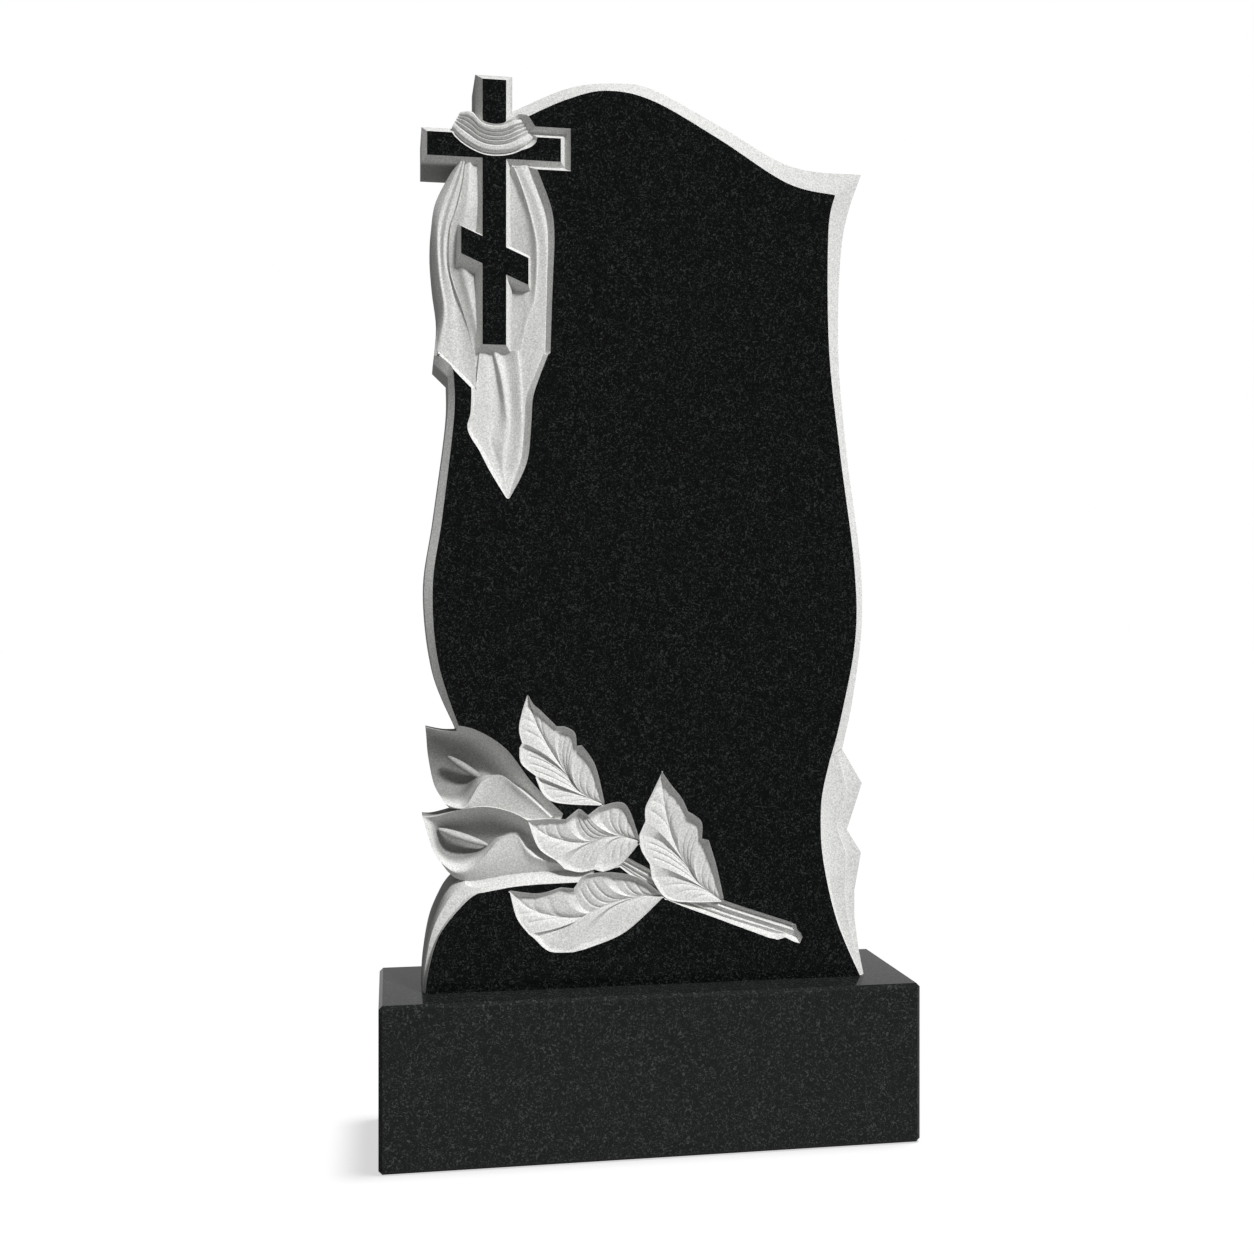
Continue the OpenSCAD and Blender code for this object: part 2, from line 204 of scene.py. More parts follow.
TIPS_RIM = [(251, 0), (245, 29), (240, 66), (240, 97), (248, 140), (231, 167), (249, 220), (224, 262)]
BEHIND = [(-165, 955), (-190, 940), (-212, 912)]
CLOTH_RIM = [(-214, 909), (-226, 893), (-240, 862), (-243.5, 825), (-241, 785), (-236, 742), (-240, 697)]
HEM = [(-239, 700), (-221, 690)]
HEM_RIM = [(-240.5, 690), (-226, 676)]
LEFT = [(-219, 673), (-219, 628), (-232, 518), (-242, 444), (-236, 362), (-211, 284)]
LEFT_RIM = [(-225, 675), (-226, 629), (-240, 522), (-251, 440), (-241, 350), (-215, 285)]
ARC = [(-120, 122), (-161, 116), (-188, 110), (-207, 98), (-234, 65), (-246, 28), (-250, 0)]
ARC_RIM = [(-205, 128), (-212, 122), (-222, 114), (-232, 99), (-244, 70), (-251, 30), (-253, 0)]


def slab_rings():
    """The slab's outline at its polished face, at three lines down its edge and at its rim."""
    runs = [
        (curve(TIPS, 28), straight(TIPS_RIM, 28), FROND),
        (curve(SIDE, 70), curve(SIDE_RIM, 70), SLOPE),
        (curve(HEAD, 60), curve(HEAD_RIM, 60), SLOPE),
        (straight(BEHIND, 4), straight(BEHIND, 4), SLOPE),
        (curve(CLOTH_RIM, 30), curve(CLOTH_RIM, 30), SLOPE),
        (straight(HEM, 6), straight(HEM_RIM, 6), SLOPE),
        (curve(LEFT, 50), curve(LEFT_RIM, 50), SLOPE),
        (curve(ARC, 40), curve(ARC_RIM, 40), FOOT)]
    rings = []
    for level in range(-1, len(SLOPE)):
        ring = []
        for edge, rim, shape in runs:
            share, height = shape[level] if level >= 0 else (0, 0)
            for place in edge + (rim - edge) * share:
                ring.append((*place, height))
        rings.append(np.array(ring))
    rings.append(rings[-1] * [1, 1, 0] - [0, 0, SLAB_T])
    return rings


MERGE = 0.05 * MM


def make_slab():
    """The slab with its polished face and its shaped edge, before it is carved."""
    rings = slab_rings()
    count = len(rings[0])
    faces = [list(range(count))[::-1], [count * (len(rings) - 1) + i for i in range(count)]]
    for level in range(len(rings) - 1):
        for i in range(count):
            j = (i + 1) % count
            near, far = level * count, (level + 1) * count
            faces.append([near + i, near + j, far + j, far + i])
    stone = mesh_piece("stele_stone", to_metres(np.concatenate(rings)), faces)
    deselect()
    bpy.context.view_layer.objects.active = stone
    stone.select_set(True)
    edit()
    bpy.ops.mesh.select_all(action="SELECT")
    bpy.ops.mesh.remove_doubles(threshold=MERGE)
    bpy.ops.mesh.normals_make_consistent(inside=False)
    bpy.ops.mesh.quads_convert_to_tris(quad_method="BEAUTY", ngon_method="BEAUTY")
    leave()
    return stone


# ---- the cross ----

POST = (-187.6, -161.6, 711, 1003)
CROSSBAR = (-248, -101, 916, 942)
SLANT = (-211, -137, 794, 824)
SLANT_DROP = 16
POST_BEVEL = 7.5
BAR_BEVEL = 6
# How wide and how deep the lower side of each bar is
POST_FOOT = 10
BAR_FOOT = 6
SLANT_FOOT = 13
GROOVE_DEPTH = 7.6
GROOVE_RUN = 5.2


def box_on_face(name, left, right, low, high, front, back):
    """A block on the face between two heights."""
    deselect()
    size = ((right - left) * MM, (front - back) * MM, (high - low) * MM)
    centre = to_metres([(left + right) / 2, (low + high) / 2, (front + back) / 2])
    bpy.ops.mesh.primitive_cube_add(size=1, location=centre)
    piece = bpy.context.object
    piece.name = name
    piece.scale = size
    bpy.ops.object.transform_apply(location=True, rotation=True, scale=True)
    return piece


def select_faces(piece, wanted):
    """Selects the faces whose normal is the wanted one, and leaves the piece in edit mode."""
    edit()
    bpy.ops.mesh.select_mode(type="FACE")
    bpy.ops.mesh.select_all(action="DESELECT")
    leave()
    for face in piece.data.polygons:
        face.select = face.normal.dot(wanted) > 0.9
    edit()


def bar(name, place, bevel, foot, drop=0):
    """A bar of the cross with a flat top, steep sides and a broad lower side. A drop slants it."""
    left, right, low, high = place
    middle = (left + right) / 2
    edges = (left - bevel, right + bevel, low - foot, high + bevel)
    piece = box_on_face(name, *edges, -BAR_SINK - foot, -SLAB_T)
    select_faces(piece, (0, -1, 0))
    bpy.ops.mesh.extrude_region_move(TRANSFORM_OT_translate={"value": (0, -foot * MM, 0)})
    narrow = (right - left) / (edges[1] - edges[0])
    low_share = (high - low) / (edges[3] - edges[2])
    still = (high - low_share * edges[3]) / (1 - low_share)
    bpy.ops.transform.resize(value=(narrow, 1, low_share),
                             center_override=to_metres([middle, still, -BAR_SINK]))
    leave()
    for vertex in piece.data.vertices:
        vertex.co.z -= math.copysign(drop * MM, vertex.co.x - middle * MM)
    return piece


def bar_groove():
    """The groove round the crossbar, where its right arm lies in the polished face."""
    left, right, low, high = CROSSBAR
    wide = BAR_BEVEL + GROOVE_RUN
    piece = box_on_face("groove", left - wide, right + wide, low - wide, high + wide, 1, -GROOVE_DEPTH)
    select_faces(piece, (0, 1, 0))
    middle = to_metres([(left + right) / 2, (low + high) / 2, -GROOVE_DEPTH])
    narrow = [1 - 2 * GROOVE_RUN / (right - left + 2 * wide), 1, 1 - 2 * GROOVE_RUN / (high - low + 2 * wide)]
    bpy.ops.transform.resize(value=narrow, center_override=middle)
    leave()
    return piece


# ---- the cloth ----

# Each line runs down the cloth, and the lines of one skin follow each other from left to right
LEFT_CLOTH = [
    [(-214, 912, -13), (-226, 893, -13), (-240, 862, -12), (-243.5, 825, -12), (-241, 785, -12),
     (-236, 742, -12), (-239.5, 698, -5)],
    [(-211, 912, -5), (-221, 888, -4), (-233, 856, -4), (-237, 825, -4), (-235, 785, -4),
     (-230, 745, -4), (-236, 702, -4)],
    [(-210, 912, -7), (-218, 888, -7), (-229, 856, -6.5), (-234, 825, -6), (-232, 785, -5),
     (-226, 745, -4.5), (-231, 698, -4)],
    [(-208, 912, -5), (-213, 890, -3), (-222, 860, -2.5), (-229, 830, -2.5), (-229, 798, -3),
     (-221, 760, -4), (-222, 690, -4)],
    [(-207, 912, -7), (-211, 885, -6), (-217, 860, -6), (-226, 830, -5), (-226, 800, -5),
     (-216, 755, -5), (-208, 677, -5)],
    [(-206, 912, -5), (-209, 888, -3), (-215, 862, -2), (-223, 835, -2), (-223, 790, -2),
     (-209, 746, -2), (-198, 706, -2.5), (-194, 662, -4)]]
RECESS = [
    [(-206, 912, -9), (-209, 888, -8), (-214, 862, -9), (-222, 835, -12), (-222, 790, -15),
     (-208, 746, -14), (-197, 706, -13), (-193, 668, -10)],
    [(-201, 912, -7), (-203, 885, -5), (-206, 860, -6), (-214, 825, -13), (-214, 790, -15),
     (-204, 750, -13), (-194, 706, -13), (-190, 668, -10)],
    [(-197, 912, -10), (-199, 885, -8), (-201, 860, -8), (-206, 810, -13), (-204, 780, -11),
     (-198, 750, -10), (-191, 706, -12), (-188, 668, -10)],
    [(-190, 912, -11), (-190, 860, -10), (-190, 800, -16), (-190, 750, -13), (-188, 706, -12),
     (-186, 668, -10)],
    [(-176, 912, -11), (-176, 850, -10), (-176, 780, -15), (-176, 706, -12), (-180, 668, -10)]]
RIGHT_CLOTH = [
    [(-176, 912, -12), (-176, 850, -10), (-176, 780, -15), (-176, 704, -12)],
    [(-159, 912, -10), (-158, 850, -10), (-158, 780, -15), (-157, 740, -11), (-157, 704, -11)],
    [(-156, 908, -8), (-148, 880, -8), (-141, 850, -8), (-137, 820, -10), (-138, 785, -12),
     (-142, 760, -9), (-150, 704, -9)],
    [(-153, 908, -4), (-144, 885, -3), (-136, 860, -3), (-129, 830, -3), (-128, 800, -3),
     (-131, 764, -4), (-139, 739, -6), (-146, 704, -8)],
    [(-152, 908, -7), (-142.5, 885, -7), (-134.5, 860, -7), (-127.5, 830, -7), (-126.5, 800, -7),
     (-129, 764, -7), (-137, 739, -7.5), (-144, 704, -8.5)],
    [(-146, 910, -6), (-134, 885, -5), (-123, 855, -5), (-118, 825, -5), (-118, 790, -5),
     (-119, 750, -5), (-124, 704, -5)],
    [(-138, 912, -7), (-128, 888, -7), (-118, 859, -7), (-115, 830, -6.5), (-116, 790, -6),
     (-117, 750, -5.5), (-118, 704, -5)]]
TAIL = [
    [(-190, 706, -11), (-193, 680, -8), (-195, 657, -5), (-196, 634, -5), (-199, 617, -5),
     (-187, 596, -5), (-175, 573, -5), (-160.6, 543, -1.5)],
    [(-184, 706, -12), (-183, 680, -7), (-182, 650, -6), (-184, 622, -6), (-180, 600, -6),
     (-171, 575, -6), (-160.4, 543, -1.5)],
    [(-178, 706, -13), (-173, 680, -9), (-170, 651, -9), (-171, 628, -8.5), (-177, 605, -7),
     (-168.5, 576, -6), (-160.2, 543, -1.5)],
    [(-174, 706, -10), (-168, 680, -4), (-163, 651, -4), (-161, 625, -4), (-165, 597, -4),
     (-165, 573, -5.2), (-160, 543, -1.5)],
    [(-163, 706, -13), (-160, 680, -8.5), (-157, 655, -8.5), (-156, 625, -8), (-160, 592, -7),
     (-161.5, 573, -6), (-159.8, 543, -1.5)],
    [(-150, 706, -6), (-147, 680, -4), (-146, 655, -4), (-145, 622, -4), (-149, 588, -4),
     (-155, 568, -5), (-159.6, 543, -1.5)],
    [(-146, 706, -8), (-144, 680, -8), (-143, 655, -7.5), (-142.5, 622, -7), (-146, 588, -6),
     (-152, 568, -6), (-159.4, 543, -1.5)],
    [(-125, 706, -5.2), (-133, 680, -5.6), (-141, 655, -7.2), (-141.8, 628, -7), (-145, 590, -6.6),
     (-151, 569, -6), (-159.3, 543, -1.5)],
    [(-119, 706, -5), (-129, 680, -5), (-139, 655, -7), (-141, 628, -7), (-144, 592, -7),
     (-150, 570, -6), (-159.2, 543, -1.5)]]
SWAG_TOP = [(-212, 965), (-203, 967), (-197, 965), (-190, 957), (-180, 953), (-168, 953), (-158, 957),
            (-150, 961), (-145, 963)]
SWAG_FOOT = [(-221, 948), (-214, 938), (-201, 929), (-186, 923), (-171, 922), (-155, 925), (-140, 933),
             (-131, 942)]
# The swag's folds, as (share of the way down, height): a broad roll, narrow folds and a broad hem
SWAG_FOLDS = [(0, -4.5), (0.08, -0.4), (0.17, -0.8), (0.23, -5.2), (0.3, -0.6), (0.37, -4.8), (0.44, -0.5),
              (0.52, -5.2), (0.6, -0.6), (0.68, -4.4), (0.76, -1), (0.9, -1.4), (0.97, -3), (1, -6)]
# How far the swag's left end and right end sink into the stone, and between which shares of its
# length it doesn't
SWAG_ENDS = (-3, -7)
SWAG_LEVEL = (0.15, 0.8)
# A higher number keeps the folds' full height closer to the ends
SWAG_FADE = 8
SWAG_STEPS = 60


def swag_skin():
    """The cloth gathered over the middle of the cross."""
    top, foot = curve(SWAG_TOP, SWAG_STEPS), curve(SWAG_FOOT, SWAG_STEPS)
    along = np.linspace(0, 1, SWAG_STEPS + 1)
    sink = np.interp(along, [0, *SWAG_LEVEL, 1], [SWAG_ENDS[0], 0, 0, SWAG_ENDS[1]])
    shares, heights = np.array(SWAG_FOLDS).T
    rows = []
    for share in np.linspace(0, 1, SWAG_STEPS + 1):
        height = np.interp(share, shares, heights) * (1 - (2 * along - 1)**SWAG_FADE) + sink
        rows.append(np.column_stack([top + (foot - top) * share, height]))
    return np.array(rows)


# ---- the flowers ----

# A lily's eight guide curves run from its open mouth to its tube, and follow each other downwards:
# its top edge, its back petal, two along its throat, two along the crest of its front petal, and
# two down its belly
UPPER_LILY = [
    [(-249, 290, -12), (-229, 286, -9), (-197, 284, -4), (-163, 265, -1.5), (-134, 228, -1), (-102, 191, -4)],
    [(-248, 279, -19), (-229, 278, -17), (-198, 273, -13), (-167, 255, -9), (-137, 223, -7), (-105, 190, -6)],
    [(-246, 256, -31), (-224, 254, -31), (-204, 246, -29), (-181, 239, -23), (-142, 221, -12),
     (-107, 189, -7)],
    [(-240, 226, -34), (-223, 226, -33), (-206, 226, -29), (-184, 236, -17), (-145, 221, -10),
     (-110, 189, -7)],
    [(-232, 212, -12), (-217, 206, -10), (-206, 209, -9), (-188, 232, -3), (-168, 237, -1.5), (-145, 220, -2),
     (-112, 189, -5)],
    [(-229, 207, -4), (-216, 202, -2), (-204, 205, -2), (-187, 230, -1), (-168, 235, -0.5), (-144, 218, -1),
     (-112, 188.5, -5)],
    [(-226, 204, -6), (-213, 200, -8), (-198, 201, -8), (-178, 215, -6), (-160, 218, -5), (-141, 206, -5),
     (-113, 187, -6)],
    [(-223, 201, -9), (-209, 198, -12), (-197, 198, -13), (-175, 199, -12), (-161, 196, -11),
     (-140, 189, -9), (-114, 185, -7)]]
LOWER_LILY = [
    [(-253, 193, -3), (-240, 193, -3), (-206, 201, -2.5), (-178, 202, -1.5), (-147, 192, -1.5),
     (-120, 172, -3), (-75, 138, -6)],
    [(-251, 186, -2), (-236, 187, -12), (-203, 192, -12), (-175, 192, -11), (-147, 183, -9), (-118, 163, -7),
     (-75, 135, -8)],
    [(-247, 172, -1.5), (-232, 171, -24), (-204, 168, -28), (-175, 168, -25), (-146, 173, -16),
     (-118, 152, -12), (-75, 133, -9)],
    [(-242, 157, -1.5), (-229, 152, -26), (-212, 149, -28), (-190, 152, -23), (-166, 168, -13),
     (-134, 154, -10), (-75, 132, -9)],
    [(-236, 146, -1.5), (-222, 139, -6), (-205, 139, -7), (-190, 146, -3), (-170, 166, -2), (-150, 170, -1.5),
     (-129, 147, -5), (-75, 131, -9)],
    [(-233, 143, -1), (-220, 133, -1.5), (-204, 134, -2), (-188, 144, -1), (-168, 164, -0.5),
     (-151, 168, -0.5), (-130, 145, -4), (-75, 130.5, -9)],
    [(-226, 133, -4), (-212, 126, -6), (-200, 126, -7), (-182, 134, -6), (-163, 146, -4), (-147, 148, -5),
     (-127, 137, -8), (-75, 129.5, -10)],
    [(-217, 124, -8), (-207, 121, -10), (-197, 120, -12), (-175, 123, -12), (-155, 126, -12),
     (-125, 128, -12), (-75, 128, -11)]]
LILY_DEPTH = 44
SPADIX_D = 8.5
UPPER_SPADIX = [(-225, 257, -25), (-184, 230, -17)]
LOWER_SPADIX = [(-236, 178, -17), (-180, 158, -16)]

# The stem's lines run from behind the leaves to the cut end: its upper edge, the foot of the wall
# there, a ridge, a flute, a second ridge, a second flute, and its lower edge
STEM = [
    [(-40, 150, -0.5), (20, 118, -0.5), (85, 91, -0.5), (162, 64, -0.5)],
    [(-41, 146, -6), (18, 114, -6), (84, 86.5, -6), (163, 60, -5)],
    [(-40, 143, -4), (17, 111, -3.5), (84, 83, -3.5), (167, 54, -3)],
    [(-39, 140, -8), (16, 108, -8), (83, 79, -8), (171, 46, -6)],
    [(-38, 138, -6), (15, 105, -6), (82, 76, -6), (156, 51.5, -4)],
    [(-37, 136, -9), (14, 102, -9), (81, 73.5, -9), (145, 51, -6)],
    [(-35, 133, -0.5), (13, 98, -0.5), (80, 70.5, -0.5), (137, 48, -0.5)]]


def spadix(name, line):
    """The spadix in a lily's throat: a rounded finger."""
    deselect()
    ends = to_metres(line)
    reach = ends[1] - ends[0]
    bpy.ops.mesh.primitive_uv_sphere_add(segments=24, ring_count=16, radius=0.5, location=(0, 0, 0))
    piece = bpy.context.object
    piece.name = name
    piece.scale = (np.linalg.norm(reach), SPADIX_D * MM, SPADIX_D * MM)
    piece.rotation_euler = (0, -math.atan2(reach[2], reach[0]), 0)
    piece.location = (ends[0] + ends[1]) / 2
    bpy.ops.object.transform_apply(location=True, rotation=True, scale=True)
    return piece


# ---- the leaves ----

# A leaf's midrib, and the lobes of its two halves, all from base to tip. A lobe is given by its
# start, its fullest place and its end.
LEAVES = {
    "leaf_top": [[(-54, 203), (-77, 216), (-105, 253), (-127, 292), (-138, 326)],
                 [[(-58, 202), (-112, 208), (-129, 233)], [(-129, 236), (-145, 250), (-147, 267)],
                  [(-144, 272), (-147.5, 288), (-144, 307), (-138.3, 325)]],
                 [[(-53, 206), (-63, 246), (-78, 269)], [(-84, 268), (-86, 283), (-97, 290)],
                  [(-106, 290), (-123, 307), (-132, 315), (-137.7, 325)]]],
    "leaf_middle": [[(-14, 162), (-40, 166), (-77, 160), (-114, 168), (-138, 186)],
                    [[(-15, 157), (-34, 136), (-54, 128)], [(-64, 131), (-80, 128), (-97, 132)],
                     [(-107, 142), (-126, 156), (-137.5, 185)]],
                    [[(-14, 166), (-30, 203), (-59, 200)], [(-71, 191), (-80, 198), (-85, 196)],
                     [(-96, 187), (-114, 188), (-137.5, 187)]]],
    "leaf_bottom": [[(16, 99), (-30, 95), (-78, 77), (-129, 85), (-158, 109)],
                    [[(12, 96), (-30, 60), (-74, 43)], [(-88, 40), (-114, 42), (-131, 57)],
                     [(-137, 62), (-150, 80), (-157.5, 108)]],
                    [[(13, 101), (-16, 121), (-44, 127)], [(-58, 127), (-75, 124), (-87, 110)],
                     [(-101, 112), (-126, 106), (-157.5, 110)]]],
    "leaf_right": [[(82, 91), (56, 112), (30, 154), (17, 200), (13, 238)],
                   [[(80, 90), (22, 94), (1, 119)], [(-1, 135), (-11, 152), (-13, 168)],
                    [(-6, 183), (-6, 198), (1, 213), (12.7, 237)]],
                   [[(83, 95), (75, 130), (66, 160)], [(58, 162), (58, 180), (49, 189)],
                    [(42, 193), (35, 208), (23, 223), (13.3, 237)]]]}
# Where along the midrib the lobes of the left half and of the right half begin
LOBE_STARTS = ([0, 0.12, 0.34, 1], [0, 0.15, 0.38, 1])
LOBE_STEPS = 36
LEAF_ACROSS = 24
# A higher number brings the lines across a half leaf closer together near its edge
EDGE_CROWDING = 1.7
FINE_STEPS = 400
# The least step along the midrib between two lines, and the stretch its direction is taken over
LEAST_STEP = 1e-4
AHEAD = 0.01
MIDRIB_DEPTH = 9
# The valley's depth at the leaf's ends, as a share, and how fast it rises away from the midrib
VALLEY_LEAST = 0.35
VALLEY_FALL = 1.3
# How deep the left or lower edge lies, and the right or upper edge
EDGE_DEPTHS = (1.0, 4.5)
# How high each lobe's start stands over the one before, how fast that falls along the lobe, and how
# fast it grows from the midrib
LOBE_STEP = 4.2
STEP_FALL = 1.4
STEP_GROWTH = 2.2
RIM_GROWTH = 0.8
CROWN = 1.6
# A leaf lies at least this far below the polished face
LEAF_SINK = 0.3
VEIN_DEPTH = 1.0
VEIN_WIDTH = 0.028
VEIN_SWEEP = 0.6
# Where in a lobe its veins lie, how fast they deepen from the midrib and where they end
VEINS = (0.3, 0.52, 0.74)
VEIN_GROWTH = 4
VEIN_END = 0.85


def along(points, share):
    """Places at shares of the way along the smooth curve through the points."""
    fine = curve(points, FINE_STEPS)
    place = np.clip(share, 0, 1) * FINE_STEPS
    return np.stack([np.interp(place, range(FINE_STEPS + 1), column) for column in fine.T], axis=-1)


def leaf_half(midrib, lobes, lobe_starts, edge_depth):
    """One half of a leaf as lines from its midrib out to its edge."""
    starts, edges, phases = [], [], []
    for k, lobe in enumerate(lobes):
        phase = np.linspace(0, 1, LOBE_STEPS + 1)
        starts.append(np.interp(phase, [0, 1], lobe_starts[k:k + 2]))
        edges.append(curve(lobe, LOBE_STEPS))
        phases.append(phase)
    start = np.concatenate(starts)
    start += np.arange(len(start)) * LEAST_STEP
    edge, phase = np.concatenate(edges), np.concatenate(phases)
    root = along(midrib, start)
    ahead = along(midrib, start + AHEAD) - along(midrib, start - AHEAD)
    length = np.hypot(*(edge - root).T)[:, None]
    bend = root + ahead / np.maximum(np.hypot(*ahead.T), 1e-6)[:, None] * length * VEIN_SWEEP
    fade = np.sin(np.pi * np.clip(start * 0.9 + 0.1, 0, 1)) ** 0.5
    rows = []
    for t in 1 - (1 - np.linspace(0, 1, LEAF_ACROSS + 1))**EDGE_CROWDING:
        place = root * (1 - t)**2 + bend * 2 * t * (1 - t) + edge * t**2
        valley = -MIDRIB_DEPTH * (VALLEY_LEAST + (1 - VALLEY_LEAST) * fade) * (1 - t)**VALLEY_FALL
        lift = LOBE_STEP * (1 - phase)**STEP_FALL * min(1, t * STEP_GROWTH)
        rim = -(edge_depth + LOBE_STEP) * t**RIM_GROWTH
        crown = CROWN * np.sin(np.pi * phase) * t * (1 - 0.5 * t)
        vein = sum(np.exp(-((phase - v) / VEIN_WIDTH)**2) for v in VEINS)
        height = valley + lift + rim + crown - VEIN_DEPTH * vein * min(1, VEIN_GROWTH * t) * (t < VEIN_END)
        wall = -np.hypot(*(edge - place).T)
        rows.append(np.column_stack([place, np.minimum(np.maximum(height, wall), -LEAF_SINK)]))
    return np.array(rows)


def leaf_skin(midrib, left, right):
    """A leaf of two lobed halves that meet in its sunken midrib."""
    lower = leaf_half(midrib, left, LOBE_STARTS[0], EDGE_DEPTHS[0])
    upper = leaf_half(midrib, right, LOBE_STARTS[1], EDGE_DEPTHS[1])
    return np.concatenate([lower[::-1], upper[1:]])


# ---- the stele ----


def make_stele():
    """The carved stele, cut from one slab."""
    stone = make_slab()
    combine(stone, bar_groove(), "DIFFERENCE")
    carve(stone, "recess", drape(RECESS, 60, 24))
    carve(stone, "right_cloth", drape(RIGHT_CLOTH, 60, 48))
    carve(stone, "tail", drape(TAIL, 60, 56))
    carve(stone, "left_cloth", drape(LEFT_CLOTH, 60, 40))
    combine(stone, bar("post", POST, POST_BEVEL, POST_FOOT), "UNION")
    combine(stone, bar("crossbar", CROSSBAR, BAR_BEVEL, BAR_FOOT), "UNION")
    combine(stone, bar("slanted_bar", SLANT, BAR_BEVEL, SLANT_FOOT, SLANT_DROP), "UNION")
    carve(stone, "swag", swag_skin(), depth=SLAB_T)
    carve(stone, "upper_lily", drape(UPPER_LILY, 70, 70), depth=LILY_DEPTH)
    combine(stone, spadix("upper_spadix", UPPER_SPADIX), "UNION")
    carve(stone, "lower_lily", drape(LOWER_LILY, 70, 70), depth=LILY_DEPTH)
    combine(stone, spadix("lower_spadix", LOWER_SPADIX), "UNION")
    carve(stone, "stem", drape(STEM, 40, 30, between=straight))
    for name in ("leaf_top", "leaf_middle", "leaf_bottom", "leaf_right"):
        carve(stone, name, leaf_skin(*LEAVES[name]))
    stone.name = "carved_stele"
    return stone


# ---- materials ----


def linear(colour):
    """The linear values of an sRGB hex colour."""
    values = [int(colour[i:i + 2], 16) / 255 for i in (1, 3, 5)]
    return [*(v / 12.92 if v <= 0.04045 else ((v + 0.055) / 1.055)**2.4 for v in values), 1]


def add(tree, kind, values=None, **settings):
    """Adds a node with its settings and its values; a socket among the values is linked."""
    node = tree.nodes.new(kind)
    for name, setting in settings.items():
        setattr(node, name, setting)
    for name, value in (values or {}).items():
        if isinstance(value, bpy.types.NodeSocket):
            tree.links.new(value, node.inputs[name])
        else:
            node.inputs[name].default_value = value
    return node


def new_material(name):
    """A material with one shader, whose tree is otherwise empty."""
    material = bpy.data.materials.new(name)
    material.use_nodes = True
    material.node_tree.nodes.clear()
    return material, material.node_tree


def finish_material(tree, shader):
    add(tree, "ShaderNodeOutputMaterial", {"Surface": shader.outputs[0]})


# The polish's mirror strength at a straight look
POLISH = 0.022
# The grains of feldspar, the pits that the chisel leaves and the depth of those pits, in millimetres
GRAIN_SIZE = 4.5
PIT_SIZE = 1.8
PIT_DEPTH = 0.3


def polished_granite(name, dark, fleck):
    """Black gabbro, ground and polished: near black, with short grey grains of feldspar in it."""
    material, tree = new_material(name)
    place = add(tree, "ShaderNodeTexCoord").outputs["Object"]
    grain = add(tree, "ShaderNodeTexNoise",
                {"Vector": place, "Scale": 1 / (GRAIN_SIZE * MM), "Detail": 2, "Roughness": 0.55,
                 "Distortion": 2.5})
    amount = add(tree, "ShaderNodeMapRange",
                 {"Value": grain.outputs["Fac"], "From Min": 0.53, "From Max": 0.68,
                  "To Min": 0, "To Max": 1})
    colour = add(tree, "ShaderNodeMix",
                 {"Factor": amount.outputs[0], "A": linear(dark), "B": linear(fleck)}, data_type="RGBA")
    shader = add(tree, "ShaderNodeBsdfPrincipled",
                 {"Base Color": colour.outputs["Result"], "Roughness": 0.1, "IOR": 1.54,
                  "Specular IOR Level": POLISH})
    finish_material(tree, shader)
    return material


# Down to the first depth behind the face the carved stone is pale, and from the second on painted shade makes
# it dark grey, in the hollows and on the slab's outer sides alike
SHADE_START_DEPTH = 6
SHADE_FULL_DEPTH = 22


def carved_granite():
    """The same gabbro where it is carved: pale grey, matt and finely pitted, with painted shade that darkens
    it with depth.
    """
    material, tree = new_material("carved_gabbro")
    place = add(tree, "ShaderNodeTexCoord").outputs["Object"]
    grain = add(tree, "ShaderNodeTexNoise",
                {"Vector": place, "Scale": 1 / (PIT_SIZE * MM), "Detail": 4, "Roughness": 0.7})
    amount = add(tree, "ShaderNodeMapRange",
                 {"Value": grain.outputs["Fac"], "From Min": 0.36, "From Max": 0.64,
                  "To Min": 0, "To Max": 1})
    worked = add(tree, "ShaderNodeMix",
                 {"Factor": amount.outputs[0], "A": linear("#b8b8b6"), "B": linear("#e4e4e2")},
                 data_type="RGBA")
    # Painted shade: the dark grey that the deep carving and the slab's outer sides are given
    painted_shade_colour = add(tree, "ShaderNodeMix",
                 {"Factor": amount.outputs[0], "A": linear("#767674"), "B": linear("#979795")},
                 data_type="RGBA")
    behind = add(tree, "ShaderNodeSeparateXYZ", {"Vector": place}).outputs["Y"]
    # The painted shade grows with the depth behind the polished face
    shade_by_depth = add(tree, "ShaderNodeMapRange",
               {"Value": behind, "From Min": FACE_Y + SHADE_START_DEPTH * MM, "From Max": FACE_Y + SHADE_FULL_DEPTH * MM},
               interpolation_type="SMOOTHSTEP")
    colour = add(tree, "ShaderNodeMix",
                 {"Factor": shade_by_depth.outputs[0], "A": worked.outputs["Result"], "B": painted_shade_colour.outputs["Result"]},
                 data_type="RGBA")
    bump = add(tree, "ShaderNodeBump",
               {"Height": grain.outputs["Fac"], "Strength": 0.25, "Distance": PIT_DEPTH * MM})
    shader = add(tree, "ShaderNodeBsdfPrincipled",
                 {"Base Color": colour.outputs["Result"], "Roughness": 0.85, "IOR": 1.54,
                  "Specular IOR Level": 0.3, "Normal": bump.outputs["Normal"]})
    finish_material(tree, shader)
    return material


FLAT = 0.9999
LEVEL = 0.02
SMOOTH_BELOW = 35


